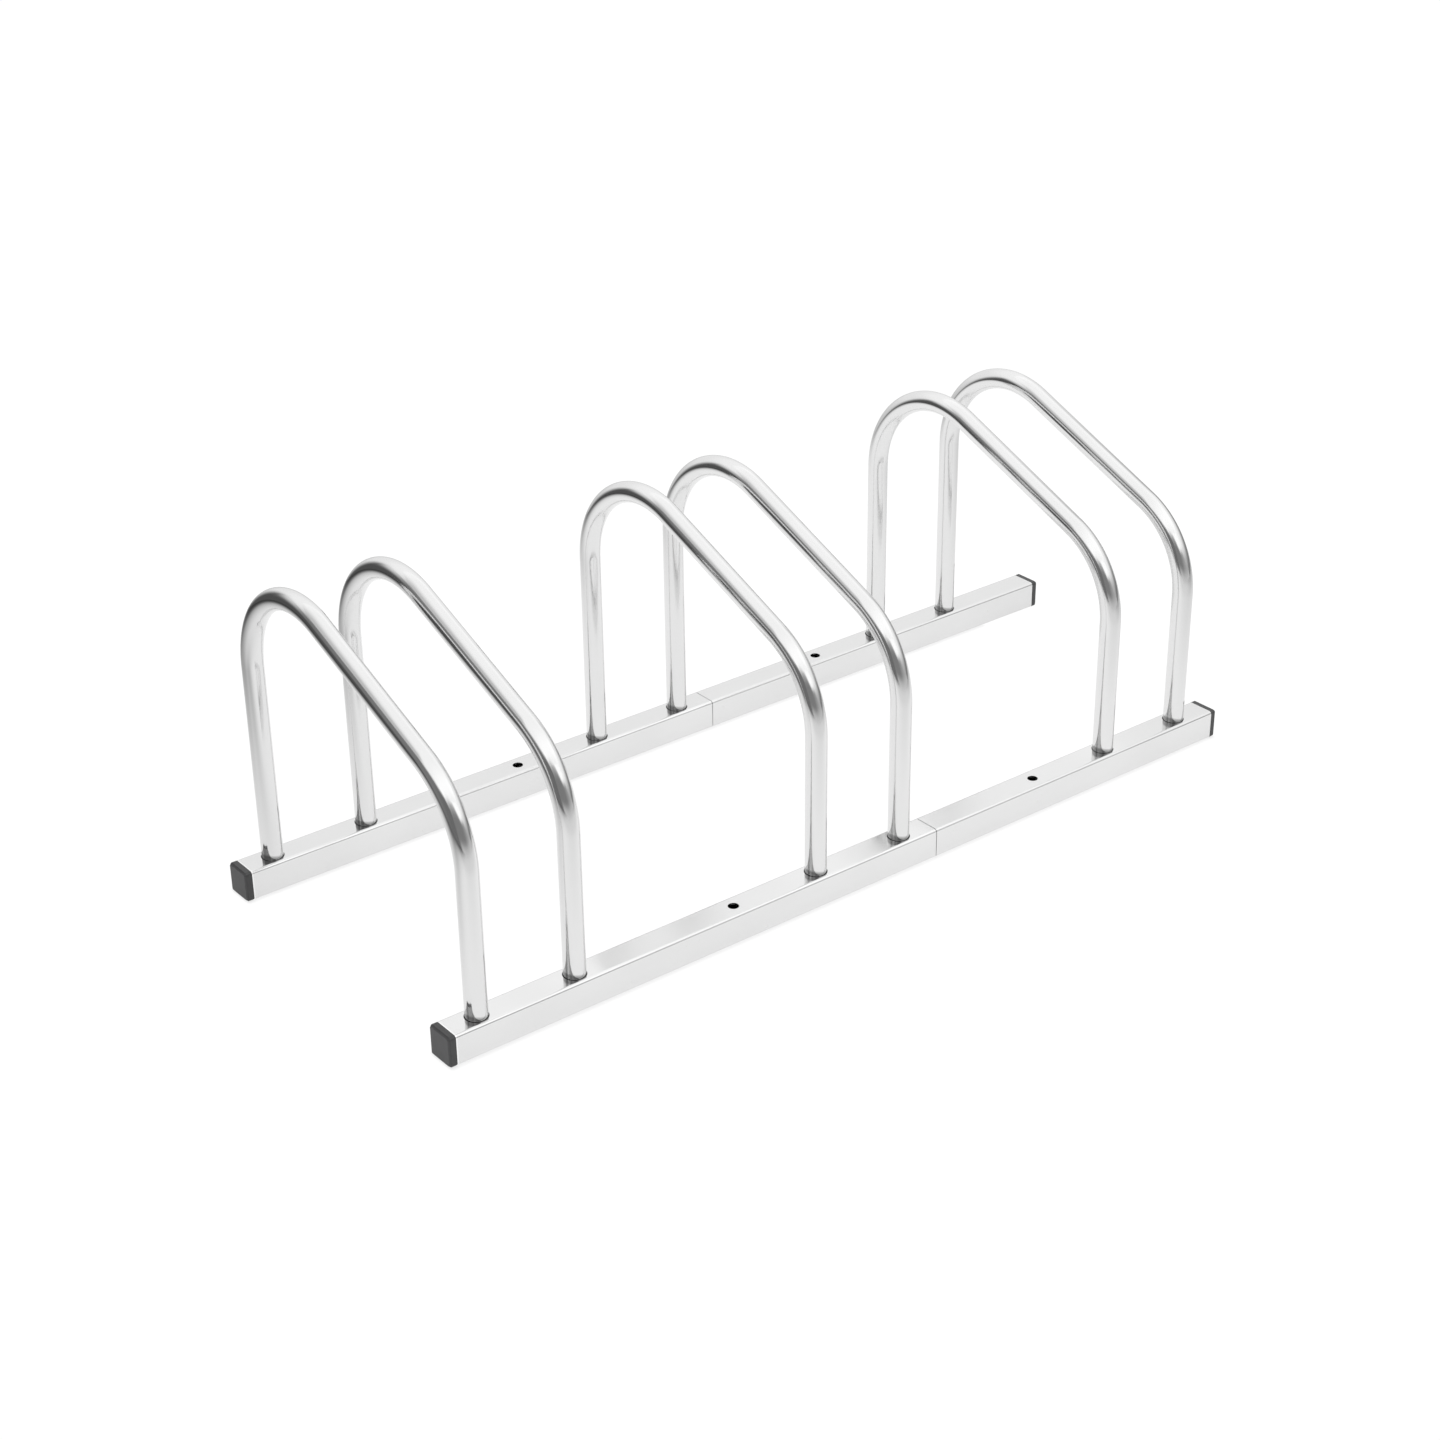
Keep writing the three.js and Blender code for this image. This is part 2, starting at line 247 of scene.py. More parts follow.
def plated_hoop_steel(rail_top):
    """Bright plated tube: faint drawing lines, cloudy gloss, and painted shade that darkens it
    where it enters the rail, reaching higher on one side."""
    material, graph = new_material("plated_hoop_steel")
    place = graph.add("ShaderNodeAttribute", {"attribute_name": "tube_place"}, None, "Vector")
    lines = graph.noise(place, (1, 1, 0.012), 900, detail=4)
    clouds = graph.noise(place, (1, 1, 0.5), 34, detail=3)
    waves = graph.noise(place, (1, 1, 0.2), 40, detail=1)
    specks = graph.step(graph.noise(place, (1, 1, 0.6), 520, detail=2), 0.7, 0.82)
    tone = graph.mixed_colour(clouds, grey(0.8), grey(0.84))
    tone = graph.mixed_colour(specks * 0.2, tone, grey(0.68))
    # Painted shade: the tube is darkened just above the rail, higher on one side.
    across, _, _ = graph.parts(place)
    _, _, up = graph.parts(graph.object_place())
    above_rail = up - rail_top + across * FOOT_SHADE_TILT
    foot_shade = graph.step(above_rail, FOOT_SHADE_HEIGHT, FULL_FOOT_SHADE_HEIGHT)
    tone = graph.mixed_colour(foot_shade * 0.85, tone, grey(0.3))
    graph.surface(**{
        "Base Color": tone,
        "Metallic": 1.0,
        "Roughness": 0.065 + lines * 0.05 + clouds * 0.05 + specks * 0.1,
        "Normal": graph.bump(lines * 0.2 + waves * 2.0, strength=0.1, distance=0.02 * MM),
    })
    return material


def plated_rail_steel(feet, near_end):
    """Plated square tube: satin with drawing lines along +X, polished around the hoops' feet,
    and a near-white painted highlight along its sawn near end."""
    material, graph = new_material("plated_rail_steel")
    place = graph.object_place()
    lines = graph.noise(place, (0.012, 1, 1), 1100, detail=4)
    clouds = graph.noise(place, (0.4, 1, 1), 40, detail=3)
    waves = graph.noise(place, (0.25, 1, 1), 45, detail=1)
    specks = graph.step(graph.noise(place, (1, 1, 1), 400, detail=2), 0.68, 0.8)
    tone = graph.mixed_colour(clouds, grey(0.82), grey(0.86))
    tone = graph.mixed_colour(specks * 0.1, tone, grey(0.7))
    along, _, _ = graph.parts(place)
    # Painted highlight: a near-white band along the sawn near end.
    end_highlight = graph.step(along, near_end + END_HIGHLIGHT_WIDTH, near_end + END_HIGHLIGHT_WIDTH / 2)
    tone = graph.mixed_colour(end_highlight, tone, grey(0.99))
    satin = 0.16 + lines * 0.08 + clouds * 0.08 + specks * 0.06
    polished = sum(graph.bell(along, foot, POLISHED_REACH) for foot in feet)
    graph.surface(**{
        "Base Color": tone,
        "Metallic": 1.0,
        "Roughness": graph.blend(polished, satin, 0.06),
        "Normal": graph.bump(lines * 0.25 + waves * 1.5, strength=0.09, distance=0.02 * MM),
    })
    return material


def plain_zinc(name, dark, light, roughness):
    """Plain zinc on the fasteners and the sleeves inside the rails."""
    material, graph = new_material(name)
    place = graph.object_place()
    crystals = graph.noise(place, (1, 1, 1), 700, detail=3, roughness=0.6)
    grime = graph.noise(place, (1, 1, 1), 120, detail=2)
    graph.surface(**{
        "Base Color": graph.mixed_colour(crystals * 0.6 + grime * 0.4, dark, light),
        "Metallic": 1.0,
        "Roughness": roughness + crystals * 0.15,
        "Normal": graph.bump(crystals, strength=0.2, distance=0.03 * MM),
    })
    return material


def moulded_cap_plastic(name, middle, half_size):
    """Moulded plastic with a fine spark texture, worn smoother at its outer edge and darker
    there by painted shade.
    """
    material, graph = new_material(name)
    place = graph.object_place()
    from_middle = graph.vector_maths("SUBTRACT", place, tuple(middle))
    _, across, up = graph.parts(graph.vector_maths("ABSOLUTE", from_middle))
    to_rim = graph.maths("MAXIMUM", across, up)
    # Painted shade: the cap's outer edge is darkened, and it is also made a little smoother.
    worn_and_shaded_edge = graph.step(to_rim, half_size - WORN_AND_SHADED_EDGE, half_size)
    grain = graph.noise(place, (1, 1, 1), 2600, detail=3, roughness=0.65)
    clouds = graph.noise(place, (1, 1, 1), 160, detail=3)
    tone = graph.mixed_colour(clouds, (0.078, 0.078, 0.08, 1), (0.1, 0.1, 0.103, 1))
    tone = graph.mixed_colour(worn_and_shaded_edge * 0.7, tone, (0.045, 0.045, 0.046, 1))
    graph.surface(**{
        "Base Color": tone,
        "Roughness": 0.42 + grain * 0.16 - worn_and_shaded_edge * 0.08,
        "Normal": graph.bump(grain, strength=0.35, distance=0.05 * MM),
    })
    return material


# ------------------------------------------------------------------ mesh helpers


def piece_from(mesh, name, material):
    """Turns a finished bmesh into an object at the origin."""
    data = bpy.data.meshes.new(name)
    mesh.to_mesh(data)
    mesh.free()
    piece = bpy.data.objects.new(name, data)
    bpy.context.scene.collection.objects.link(piece)
    data.materials.append(material)
    return piece


def stands_for(piece, node):
    """Puts the piece in the place of a CAD node."""
    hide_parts(node)
    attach(piece, BODY)


def shade_smooth(piece):
    piece.data.polygons.foreach_set("use_smooth", [True] * len(piece.data.polygons))
    piece.data.set_sharp_from_angle(angle=SMOOTH_ANGLE)


def bake_modifiers(piece):
    """Replaces the piece's mesh by what its modifiers make of it."""
    graph = bpy.context.evaluated_depsgraph_get()
    graph.update()
    finished = bpy.data.meshes.new_from_object(piece.evaluated_get(graph))
    piece.modifiers.clear()
    piece.data = finished


def upright_cutter(mesh, place, radius, low, high, low_radius=None, sides=HOLE_SIDES):
    """Adds an upright round cutter to a bmesh, tapered if it has a second radius."""
    middle = Vector((place[0], place[1], (low + high) / 2))
    bmesh.ops.create_cone(
        mesh,
        cap_ends=True,
        segments=sides,
        radius1=low_radius if low_radius else radius,
        radius2=radius,
        depth=high - low,
        matrix=Matrix.Translation(middle),
    )


def cut_away(piece, cutter_mesh):
    """Cuts the shapes of a bmesh out of a piece."""
    data = bpy.data.meshes.new("cutter")
    cutter_mesh.to_mesh(data)
    cutter_mesh.free()
    cutter = bpy.data.objects.new("cutter", data)
    bpy.context.scene.collection.objects.link(cutter)
    cut = piece.modifiers.new("holes", "BOOLEAN")
    cut.operation = "DIFFERENCE"
    cut.solver = "EXACT"
    cut.object = cutter
    bake_modifiers(piece)
    bpy.data.objects.remove(cutter)


def break_edges(piece, width, angle=SHARP_ANGLE):
    """Rounds the sharp edges a little and keeps the large faces looking flat."""
    edge = piece.modifiers.new("edges", "BEVEL")
    edge.width = width
    edge.segments = BEVEL_SEGMENTS
    edge.limit_method = "ANGLE"
    edge.angle_limit = angle
    edge.use_clamp_overlap = True
    bake_modifiers(piece)
    shade_smooth(piece)
    flat = piece.modifiers.new("flat_faces", "WEIGHTED_NORMAL")
    flat.keep_sharp = True
    flat.weight = 100
    bake_modifiers(piece)


def rounded_block(middle, size):
    """A block whose four edges along X are rounded."""
    mesh = bmesh.new()
    bmesh.ops.create_cube(mesh, size=1.0, matrix=Matrix.Diagonal((*size, 1.0)))
    bmesh.ops.translate(mesh, verts=mesh.verts, vec=middle)
    long_edges = [e for e in mesh.edges if abs(e.verts[0].co.x - e.verts[1].co.x) > size.x / 2]
    bmesh.ops.bevel(
        mesh,
        geom=long_edges,
        offset=RAIL_CORNER,
        offset_type="OFFSET",
        segments=CORNER_SEGMENTS,
        profile=0.5,
        affect="EDGES",
        material=-1,
    )
    return mesh


def inset(mesh, face, width):
    bmesh.ops.inset_region(mesh, faces=[face], thickness=width, use_even_offset=True)


def push_face(mesh, face, way):
    """Extrudes one face by a vector and returns the moved face."""
    moved = bmesh.ops.extrude_discrete_faces(mesh, faces=[face])["faces"][0]
    bmesh.ops.translate(mesh, verts=moved.verts, vec=way)
    return moved


def middle_of(node):
    low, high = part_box(node)
    return (low + high) / 2


# ------------------------------------------------------------------ hoops


def hoop_name(number):
    return f"wheel_hoop_{number}"


def hoop_path(front_y, back_y, foot):
    """The moves that carry a tube's section along the hoop: (kind, amount, centre or way)."""
    front_centre = Vector((0, front_y + FRONT_BEND_RADIUS, FRONT_BEND_HEIGHT))
    turn = math.pi / 2 + SLOPE
    bend_end = Vector((0, math.cos(turn), math.sin(turn)))
    slope_start = front_centre + FRONT_BEND_RADIUS * bend_end
    top_centre_y = back_y - TOP_BEND_RADIUS
    slope_end_y = top_centre_y + TOP_BEND_RADIUS * math.cos(turn)
    slope_length = (slope_end_y - slope_start.y) / math.cos(SLOPE)
    slope_way = Vector((0, math.cos(SLOPE), math.sin(SLOPE)))
    slope_end = slope_start + slope_length * slope_way
    top_centre = Vector((0, top_centre_y, slope_end.z - TOP_BEND_RADIUS * math.sin(turn)))
    return [
        ("straight", FRONT_BEND_HEIGHT - foot, Vector((0, 0, 1))),
        ("bend", math.pi / 2 - SLOPE, front_centre),
        ("straight", slope_length, slope_way),
        ("bend", math.pi / 2 + SLOPE, top_centre),
        ("straight", top_centre.z - foot, Vector((0, 0, -1))),
    ]


def carry_section(mesh, edges, move, plane_x):
    """Carries open rings of edges along one move of the path and returns the last rings."""
    kind, amount, guide = move
    if kind == "straight":
        steps = max(1, round(amount / STRAIGHT_STEP))
        way = guide * (amount / steps)
        angle, centre = 0.0, Vector((plane_x, 0, 0))
    else:
        steps = max(1, round(amount / BEND_STEP))
        way = Vector((0, 0, 0))
        angle, centre = amount, guide + Vector((plane_x, 0, 0))
    made = bmesh.ops.spin(
        mesh,
        geom=edges,
        cent=centre,
        axis=(-1, 0, 0),
        dvec=way,
        angle=angle,
        steps=steps,
        use_merge=False,
        use_duplicate=False,
    )
    return [item for item in made["geom_last"] if isinstance(item, bmesh.types.BMEdge)]


def mark_tube_places(mesh, ring_size, plane_x):
    """Stores on each vertex where it lies on the unbent tube: two ways across, then along."""
    layer = mesh.verts.layers.float_vector.new("tube_place")
    mesh.verts.ensure_lookup_table()
    ring_count = len(mesh.verts) // ring_size
    rings = [mesh.verts[n * ring_size:(n + 1) * ring_size] for n in range(ring_count)]
    middles = [sum((v.co for v in ring), Vector()) / ring_size for ring in rings]
    along = plane_x * PATTERN_SHIFT
    for n, ring in enumerate(rings):
        before = middles[max(n - 1, 0)]
        after = middles[min(n + 1, ring_count - 1)]
        outward = (after - before).normalized().cross(Vector((1, 0, 0)))
        if n:
            along += (middles[n] - middles[n - 1]).length
        for vertex in ring:
            across = (vertex.co - middles[n]).dot(outward)
            vertex[layer] = Vector((vertex.co.x - plane_x, across, along))


def build_hoop(number, material):
    node = hoop_name(number)
    low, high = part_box(node)
    plane_x = (low.x + high.x) / 2
    front_y, back_y = low.y + TUBE_RADIUS, high.y - TUBE_RADIUS
    mesh = bmesh.new()
    foot = Matrix.Translation((plane_x, front_y, low.z))
    for radius in (TUBE_RADIUS, TUBE_RADIUS - TUBE_WALL):
        bmesh.ops.create_circle(mesh, segments=TUBE_SIDES, radius=radius, matrix=foot)
    first = mesh.edges[:]
    last = first
    for move in hoop_path(front_y, back_y, low.z):
        last = carry_section(mesh, last, move, plane_x)
    mark_tube_places(mesh, 2 * TUBE_SIDES, plane_x)
    bmesh.ops.bridge_loops(mesh, edges=first)
    bmesh.ops.bridge_loops(mesh, edges=last)
    bmesh.ops.recalc_face_normals(mesh, faces=mesh.faces)
    hoop = piece_from(mesh, f"bent_tube_{number}", material)
    shade_smooth(hoop)
    stands_for(hoop, node)


# ------------------------------------------------------------------ rails


def square_tube(low, high):
    """A square tube along X with rounded outer corners and an even wall."""
    mesh = rounded_block((low + high) / 2, high - low)
    ends = [f for f in mesh.faces if abs(f.normal.x) > 0.9]
    bmesh.ops.delete(mesh, geom=ends, context="FACES_ONLY")
    bmesh.ops.recalc_face_normals(mesh, faces=mesh.faces)
    bmesh.ops.solidify(mesh, geom=mesh.faces, thickness=RAIL_WALL)
    return mesh


def countersink(mesh, node):
    """Adds the cutter for the countersunk head of the screw that a CAD node places."""
    low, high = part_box(node)
    head = (high.x - low.x) / 2
    depth = RAIL_WALL * 2
    mouth = head + HEAD_RIM + low.z + FIT_GAP
    upright_cutter(mesh, (low + high) / 2, mouth - depth, -depth, depth, mouth + depth)


def build_rail(side, part, material):
    node = f"{side}_rail_{part}"
    low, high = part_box(node)
    rail = piece_from(square_tube(low, high), f"{side}_rail_{part}_tube", material)
    middle_y = (low.y + high.y) / 2
    middle_z = (low.z + high.z) / 2
    below, above = low.z - CUT_MARGIN, high.z + CUT_MARGIN
    cutters = bmesh.new()
    for number in HOOP_NUMBERS:
        plane_x = middle_of(hoop_name(number)).x
        if low.x < plane_x < high.x:
            upright_cutter(cutters, (plane_x, middle_y), LEG_HOLE_RADIUS, middle_z, above)
            countersink(cutters, f"hoop_{number}_{side}_screw")
    for number in JOINER_SCREW_NUMBERS:
        screw = f"{side}_joiner_screw_{number}"
        if low.x < middle_of(screw).x < high.x:
            countersink(cutters, screw)
    anchor = (ANCHOR_PLACES[node], middle_y)
    upright_cutter(cutters, anchor, ANCHOR_HOLE_RADIUS, below, above)
    cut_away(rail, cutters)
    break_edges(rail, RAIL_EDGE)
    stands_for(rail, node)


def anchor_places():
    """Where each rail segment has its ground anchor hole, from the record's seat mounts."""
    places = {}
    for mount in frame["record"]["mounts"]:
        if mount["name"].endswith("_anchor_seat"):
            side, end = mount["name"].split("_")[:2]
            part = "long" if end == "near" else "short"
            places[f"{side}_rail_{part}"] = mount["pos_m"][0] - SEAT_OFFSET
    return places


ANCHOR_PLACES = anchor_places()


# ------------------------------------------------------------------ end caps


def build_cap(side, end):
    """A square plate with a raised face outside and a hollow stem that goes into the rail."""
    node = f"{side}_{end}_end_cap"
    low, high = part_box(node)
    outward = -1 if end == "near" else 1
    outer_x = low.x if end == "near" else high.x
    size = high.z - low.z
    plate_x = outer_x - outward * (CAP_FLANGE - CAP_PLATE / 2)
    middle = Vector((plate_x, (low.y + high.y) / 2, (low.z + high.z) / 2))
    mesh = rounded_block(middle, Vector((CAP_PLATE, size, size)))
    face = max(mesh.faces, key=lambda f: f.normal.x * outward)
    back = min(mesh.faces, key=lambda f: f.normal.x * outward)
    inset(mesh, face, CAP_FACE_INSET)
    lift = Vector((outward * (CAP_FLANGE - CAP_PLATE), 0, 0))
    bmesh.ops.translate(mesh, verts=face.verts, vec=lift)
    stem_length = (high.x - low.x) - CAP_FLANGE
    inset(mesh, back, RAIL_WALL + FIT_GAP)
    back = push_face(mesh, back, Vector((-outward * stem_length, 0, 0)))
    inset(mesh, back, CAP_STEM_WALL)
    push_face(mesh, back, Vector((outward * (stem_length - CAP_PLATE), 0, 0)))
    bmesh.ops.recalc_face_normals(mesh, faces=mesh.faces)
    material = moulded_cap_plastic(f"cap_plastic_{side}_{end}", middle, size / 2)
    cap = piece_from(mesh, f"{side}_{end}_cap", material)
    break_edges(cap, CAP_EDGE, CAP_SHARP_ANGLE)
    stands_for(cap, node)


# ------------------------------------------------------------------ screws


def build_screw(node, material, shank_share, socket_across, socket_depth):
    """A countersunk screw, lathed on its own axis, with a hexagon socket in its head."""
    low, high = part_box(node)
    middle = (low + high) / 2
    head = (high.x - low.x) / 2
    shank = head * shank_share
    tip = shank / 3
    outline = [
        (0, low.z),
        (head, low.z),
        (head, low.z + HEAD_RIM),
        (shank, low.z + HEAD_RIM + head - shank),
        (shank, high.z - tip),
        (shank - tip, high.z),
        (0, high.z),
    ]
    mesh = bmesh.new()
    points = [mesh.verts.new((middle.x + r, middle.y, z)) for r, z in outline]
    for first, second in zip(points, points[1:]):
        mesh.edges.new((first, second))
    bmesh.ops.spin(
        mesh,
        geom=mesh.edges[:] + mesh.verts[:],
        cent=(middle.x, middle.y, 0),
        axis=(0, 0, 1),
        angle=2 * math.pi,
        steps=SCREW_SIDES,
        use_merge=True,
        use_duplicate=False,
    )
    bmesh.ops.remove_doubles(mesh, verts=mesh.verts, dist=SAME_POINT)
    bmesh.ops.recalc_face_normals(mesh, faces=mesh.faces)
    screw = piece_from(mesh, f"{node}_turned", material)
    socket = bmesh.new()
    corner = socket_across / 2 / math.cos(math.pi / 6)
    upright_cutter(socket, middle, corner, low.z - MM, low.z + socket_depth, sides=6)
    cut_away(screw, socket)
    break_edges(screw, SCREW_EDGE)
    stands_for(screw, node)


# ------------------------------------------------------------------ stage


# The studio is a small room with painted light on its walls. The camera doesn't see the walls.
ROOM_LEFT, ROOM_RIGHT = -2.0, 1.5
ROOM_FRONT, ROOM_BACK = -1.5, 1.0
ROOM_TOP = 1.5
FLOOR_DROP = 0.3 * MM
FLOOR_MARGIN = 3.0
FLOOR_COLOUR = 0.88
MIRRORED_SHARE = 0.6  # of the floor's own glow, in what the metal reflects
MIRRORED_GLOW = 1.1

# What the camera sees: glowing white paper, with some of the rack's own shadow on it near the
# rack and none far away
NEAR_SHARE, FAR_SHARE = 0.88, 1.0
NEAR_GLOW, FAR_GLOW = 1.09, 1.02
NEAR_END, FAR_START = 0.6, 0.9
SHADOW_SHARE = 0.22  # more shadow shows right beside the rails
SHADOW_REACH = 4 * MM

LIGHT_OUTSIDE = 0.85
WHITE_BACKGROUND = 1.02


def light_on_left(g, x, y, z):
    """A dim wall under a bright ceiling."""
    dim = g.blend(g.step(y, -0.6, 0.4), 0.165, 0.205)
    top = 1.25 + g.step(y, -0.4, -1.0) * 0.2 + g.step(y, 0.2, 0.9) * 0.36
    return g.blend(g.step(z, top - 0.3, top + 0.2), dim, 0.95)


def light_on_right(g, x, y, z):
    """Dim at the front, and a pale backdrop past its edge."""
    front = g.blend(g.step(z, 0.1, 1.05), 0.22, 1.02)
    back = g.blend(g.step(z, 0.2, 1.1), 0.72, 0.98)
    seam = g.bell(y, 0.36, 0.2) * g.step(z, 1.5, 1.1)
    return g.blend(g.step(y, 0.34, 0.72), front, back) * (1.0 - seam * 0.28)


def light_on_front(g, x, y, z):
    """The dim side on which the camera stands, under a large soft lamp."""
    dim = g.blend(g.step(x, -0.4, 0.5), 0.225, 0.38)
    dim = dim + g.step(x, 0.4, 0.9) * g.step(z, 0.15, 0.5) * 0.13
    skirt = g.step(z, 0.36, 0.0) * g.step(x, -1.9, -1.2)
    dim = g.blend(skirt, dim, 0.62)
    far = g.step(x, 0.0, -0.7)
    left_edge = g.step(z, 0.66 + far * 0.22, 0.95 + far * 0.9)
    right_edge = g.step(z, 0.45, 1.1)
    edge = g.blend(g.step(x, 0.2, 0.7), left_edge, right_edge)
    lamp = 1.2 - g.step(x, 0.6, 1.4) * 0.2 - g.step(x, -0.2, -1.3) * 0.6
    return g.blend(edge, dim, lamp)


def light_on_back(g, x, y, z):
    """A pale backdrop, and left of it a dark corner with a dim panel above."""
    dim = g.blend(g.step(z, 0.3, 0.6), 0.085, 0.19)
    panel = g.step(x, -1.7, -0.75) * g.step(z, 0.42, 0.82) * 0.58
    gap = g.bell(x, -0.57, 0.13) * g.bell(z, 0.62, 0.25) * 0.2
    high = g.step(z, 0.8, 1.15)
    middle = -0.27 - z * 0.36 - high * 0.7
    reach = 0.22 + high * 0.8
    edge = g.step(x, middle - reach, middle + reach)
    pale = g.blend(g.step(z, 0.0, 0.45), 0.62, 0.91) + g.step(z, 0.45, 1.1) * 0.13
    return g.blend(edge, dim + panel - gap, pale)


def light_on_ceiling(g, x, y, z):
    """Bright, brightest at the front, and duller in the two corners on the left."""
    lamp = g.bell(y, -0.85, 0.75) * 0.14 + g.step(x, 0.2, 1.0) * 0.05
    left_back = g.step(x, -0.2, -1.6) * g.step(y, 0.12, 0.42) * 0.5
    left_front = g.step(x, -0.5, -1.5) * g.step(y, -1.0, -1.5) * 0.5
    return 1.07 + lamp + g.step(y, 0.5, 0.9) * 0.05 - left_back - left_front


def shade_of_floor(g, x, y):
    """The floor's paper darkens away from the rack."""
    to_front = 1.0 - g.step(y, -0.2, -0.58) * 0.19 - g.step(y, -0.6, -1.4) * 0.1
    corner = g.step(x, -0.1, -0.6) * g.step(y, 0.45, 0.7) * 0.32
    to_back = 1.0 - g.step(y, 0.4, 1.0) * 0.33 - corner
    to_right = 1.0 - g.step(x, 0.2, 1.1) * 0.34
    slant = x - g.maths("MAXIMUM", y, 0.0) * 0.9
    slant = slant + g.step(y, -0.15, -0.45) * 0.2 - g.bell(y, 0.0, 0.2) * 0.2
    to_left = g.step(slant, -1.45, -0.45)
    return g.blend(to_left, 0.15, 1.0) * to_front * to_back * to_right


def flat_panel(name, corner, across, up, material):
    """A flat panel spanned from one corner by two edges."""
    corner, across, up = Vector(corner), Vector(across), Vector(up)
    mesh = bmesh.new()
    bmesh.ops.create_grid(mesh, x_segments=1, y_segments=1, size=0.5)
    axes = Matrix((across, up, across.cross(up).normalized())).transposed()
    place = Matrix.Translation(corner + (across + up) / 2) @ axes.to_4x4()
    bmesh.ops.transform(mesh, matrix=place, verts=mesh.verts)
    panel = piece_from(mesh, name, material)
    return panel


def build_walls():
    """The studio's walls and ceiling. They light the rack and stay out of the picture."""
    long, deep, high = ROOM_RIGHT - ROOM_LEFT, ROOM_BACK - ROOM_FRONT, ROOM_TOP
    along, inwards, up = (long, 0, 0), (0, deep, 0), (0, 0, high)
    walls = {
        "left": (light_on_left, (ROOM_LEFT, ROOM_FRONT, 0), inwards, up),
        "right": (light_on_right, (ROOM_RIGHT, ROOM_FRONT, 0), inwards, up),
        "front": (light_on_front, (ROOM_LEFT, ROOM_FRONT, 0), along, up),
        "back": (light_on_back, (ROOM_LEFT, ROOM_BACK, 0), along, up),
        "top": (light_on_ceiling, (ROOM_LEFT, ROOM_FRONT, ROOM_TOP), along, inwards),
    }
    for side, (light, corner, first_edge, second_edge) in walls.items():
        material, graph = new_material(f"studio_{side}")
        x, y, z = graph.parts(graph.object_place())
        lamp = graph.add("ShaderNodeEmission", None, {"Color": light(graph, x, y, z)})
        graph.add("ShaderNodeOutputMaterial", None, {"Surface": lamp})
        wall = flat_panel(f"studio_{side}", corner, first_edge, second_edge, material)
        wall.visible_camera = False


def beside_rails(graph, x, y):
    """1 on the floor along the rails' sides, 0 away from them."""
    low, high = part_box("front_rail_long")
    far_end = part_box("front_rail_short")[1].x
    rail_middle = abs(low.y + high.y) / 2
    rail_half = (high.y - low.y) / 2
    from_middle = graph.maths("ABSOLUTE", graph.maths("ABSOLUTE", y) - rail_middle)
    beside = graph.step(from_middle, rail_half + SHADOW_REACH, rail_half)
    beside = beside * graph.step(x, low.x - 2 * SHADOW_REACH, low.x - SHADOW_REACH)
    return beside * graph.step(x, far_end + 2 * SHADOW_REACH, far_end + SHADOW_REACH)


def build_floor():
    """A plain pale floor. The camera sees it white, with a soft shadow along the rails."""
    material, graph = new_material("pale_floor")
    place = graph.object_place()
    x, y, _ = graph.parts(place)
    shade = shade_of_floor(graph, x, y)
    seen, mirrored = graph.rays("Is Camera Ray"), graph.rays("Is Glossy Ray")
    lit = graph.maths("MAXIMUM", shade, seen)
    tone = graph.mixed_colour(lit, grey(0), grey(FLOOR_COLOUR))
    paper = graph.add("ShaderNodeBsdfDiffuse", None, {"Color": tone})
    far = graph.step(graph.vector_maths("LENGTH", place, output="Value"), NEAR_END, FAR_START)
    seen_glow = graph.blend(far, NEAR_GLOW, FAR_GLOW)
    glow = graph.blend(seen, shade * MIRRORED_GLOW, seen_glow)
    white = graph.add("ShaderNodeEmission", None, {"Color": glow})
    near_share = NEAR_SHARE - beside_rails(graph, x, y) * SHADOW_SHARE
    share = seen * graph.blend(far, near_share, FAR_SHARE) + mirrored * MIRRORED_SHARE
    shown = graph.add("ShaderNodeMixShader", None, {0: share, 1: paper, 2: white})
    graph.add("ShaderNodeOutputMaterial", None, {"Surface": shown})
    corner = (ROOM_LEFT - FLOOR_MARGIN, ROOM_FRONT - FLOOR_MARGIN, -FLOOR_DROP)
    along = (ROOM_RIGHT - ROOM_LEFT + 2 * FLOOR_MARGIN, 0, 0)
    inwards = (0, ROOM_BACK - ROOM_FRONT + 2 * FLOOR_MARGIN, 0)
    flat_panel("floor", corner, along, inwards, material)


def build_surroundings():
    """White behind everything for the camera, and plain pale light outside the room."""
    world = bpy.data.worlds.new("studio")
    bpy.context.scene.world = world
    graph = Graph(world)
    glow = graph.blend(graph.rays("Is Camera Ray"), LIGHT_OUTSIDE, WHITE_BACKGROUND)
    shader = graph.add("ShaderNodeBackground", None, {"Color": glow})
    graph.add("ShaderNodeOutputWorld", None, {"Surface": shader})


# ------------------------------------------------------------------ camera


# The photograph's view: the camera looks at the target from this side, height and distance.
TARGET = Vector((-59.3, 0, 90.5)) * MM
CAMERA_AZIMUTH = -37.89 * DEG
CAMERA_ELEVATION = 27.63 * DEG
CAMERA_ROLL = -0.768 * DEG
CAMERA_DISTANCE = 2.0887
FOCAL_LENGTH = 65.97
SENSOR = 36.0


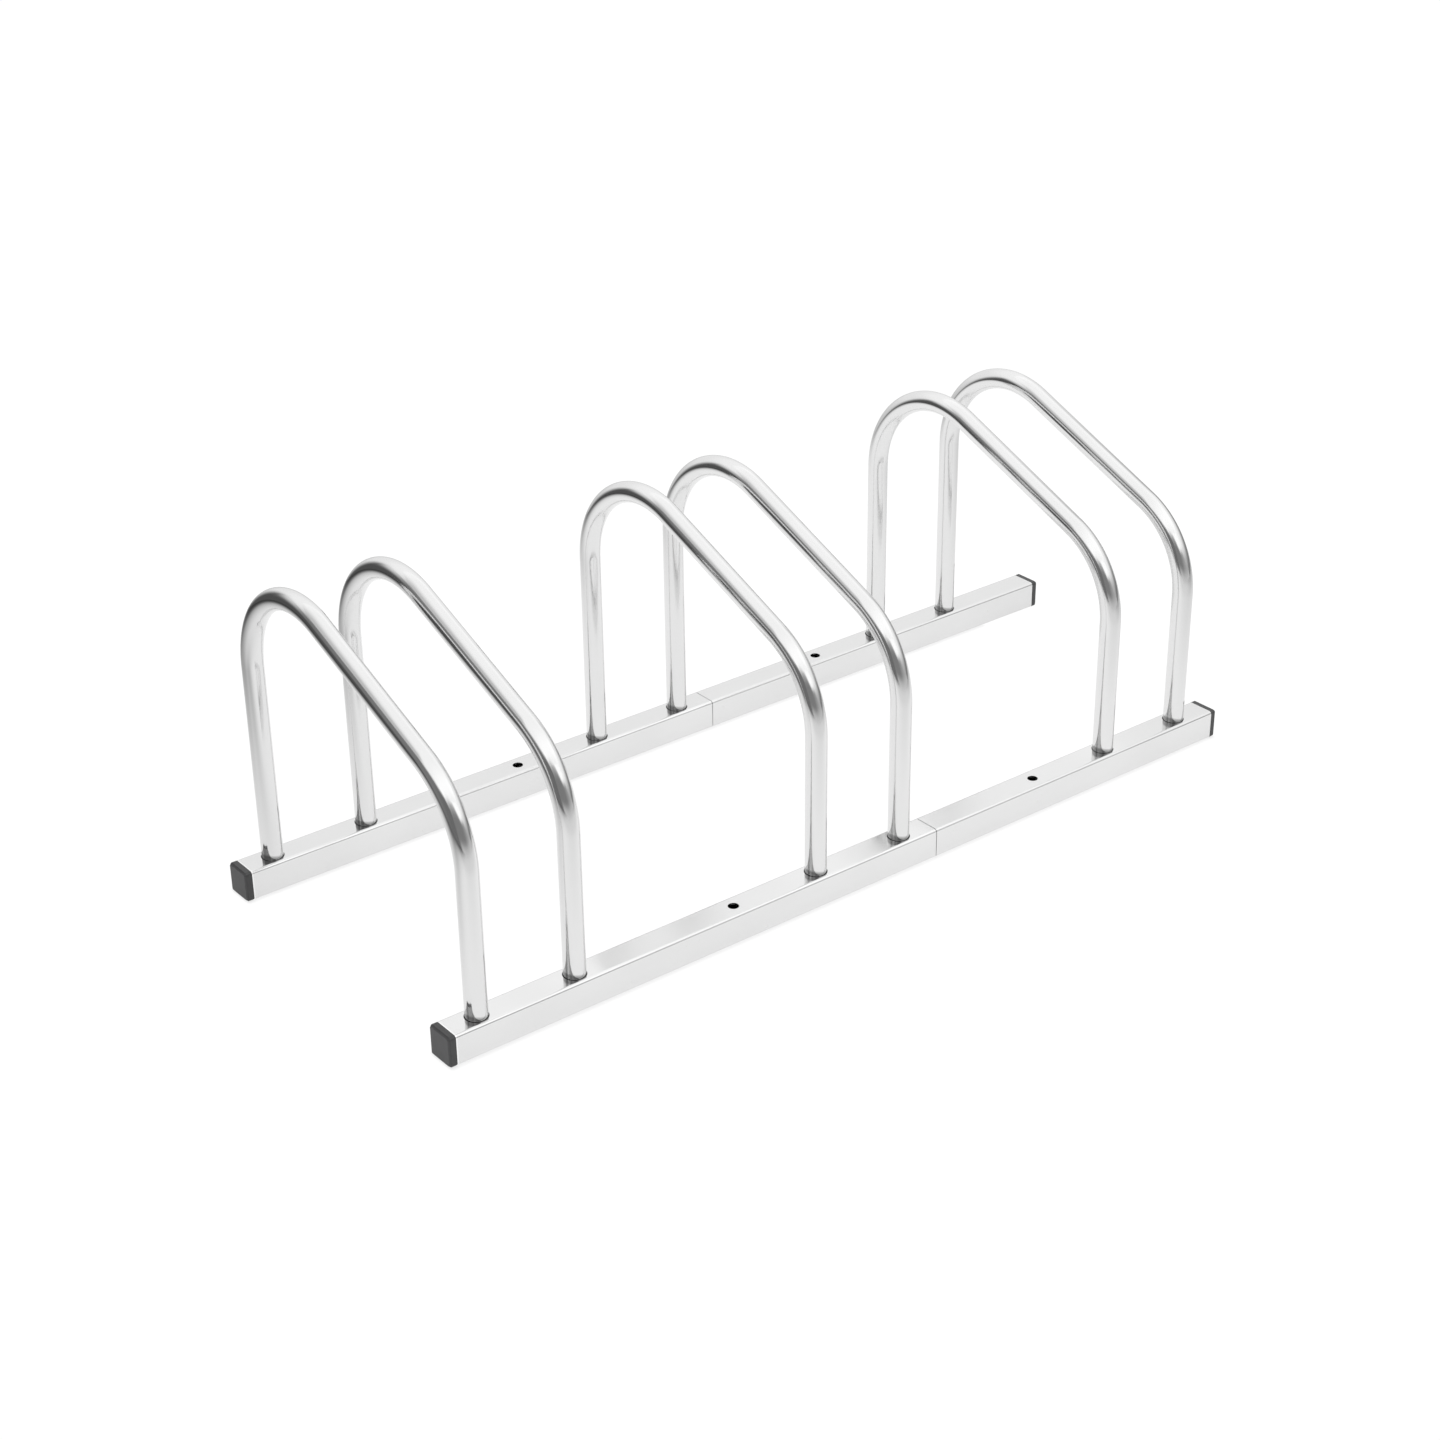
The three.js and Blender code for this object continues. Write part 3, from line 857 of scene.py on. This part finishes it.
def place_camera():
    data = bpy.data.cameras.new("camera")
    data.lens = FOCAL_LENGTH
    data.sensor_width = SENSOR
    data.sensor_fit = "HORIZONTAL"
    camera = bpy.data.objects.new("camera", data)
    bpy.context.scene.collection.objects.link(camera)
    back = Vector((
        math.sin(CAMERA_AZIMUTH) * math.cos(CAMERA_ELEVATION),
        -math.cos(CAMERA_AZIMUTH) * math.cos(CAMERA_ELEVATION),
        math.sin(CAMERA_ELEVATION),
    ))
    right = (-back).cross(Vector((0, 0, 1))).normalized()
    up = right.cross(-back)
    tilted_right = right * math.cos(CAMERA_ROLL) + up * math.sin(CAMERA_ROLL)
    tilted_up = up * math.cos(CAMERA_ROLL) - right * math.sin(CAMERA_ROLL)
    axes = Matrix((tilted_right, tilted_up, back)).transposed()
    camera.matrix_world = Matrix.Translation(TARGET + back * CAMERA_DISTANCE) @ axes.to_4x4()
    bpy.context.scene.camera = camera


# ------------------------------------------------------------------ the whole rack


def dress_hidden_pieces(sleeve_zinc, plug_zinc):
    """The sleeves and threaded plugs keep their own solids."""
    for name, node in frame["nodes"].items():
        if name.endswith("_rail_joiner"):
            node.data.materials[0] = sleeve_zinc
        elif name.endswith("_threaded_plug"):
            node.data.materials[0] = plug_zinc


place_camera()
build_surroundings()
build_walls()
build_floor()

hoop_steel = plated_hoop_steel(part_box("front_rail_long")[1].z)
for hoop_number in HOOP_NUMBERS:
    build_hoop(hoop_number, hoop_steel)

rail_steel = plated_rail_steel(
    [middle_of(hoop_name(n)).x for n in HOOP_NUMBERS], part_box("front_rail_long")[0].x
)
for rail_side in SIDES:
    for rail_part in ("long", "short"):
        build_rail(rail_side, rail_part, rail_steel)
    for cap_end in ("near", "far"):
        build_cap(rail_side, cap_end)

screw_zinc = plain_zinc("screw_zinc", (0.62, 0.63, 0.65, 1), (0.8, 0.8, 0.79, 1), 0.2)
for rail_side in SIDES:
    for hoop_number in HOOP_NUMBERS:
        build_screw(f"hoop_{hoop_number}_{rail_side}_screw", screw_zinc, **HOOP_SCREW)
    for screw_number in JOINER_SCREW_NUMBERS:
        build_screw(f"{rail_side}_joiner_screw_{screw_number}", screw_zinc, **JOINER_SCREW)

dress_hidden_pieces(
    plain_zinc("sleeve_zinc", (0.55, 0.56, 0.57, 1), (0.72, 0.72, 0.71, 1), 0.32),
    plain_zinc("plug_zinc", (0.5, 0.5, 0.51, 1), (0.68, 0.67, 0.65, 1), 0.35),
)

bpy.context.scene.view_settings.view_transform = "Standard"
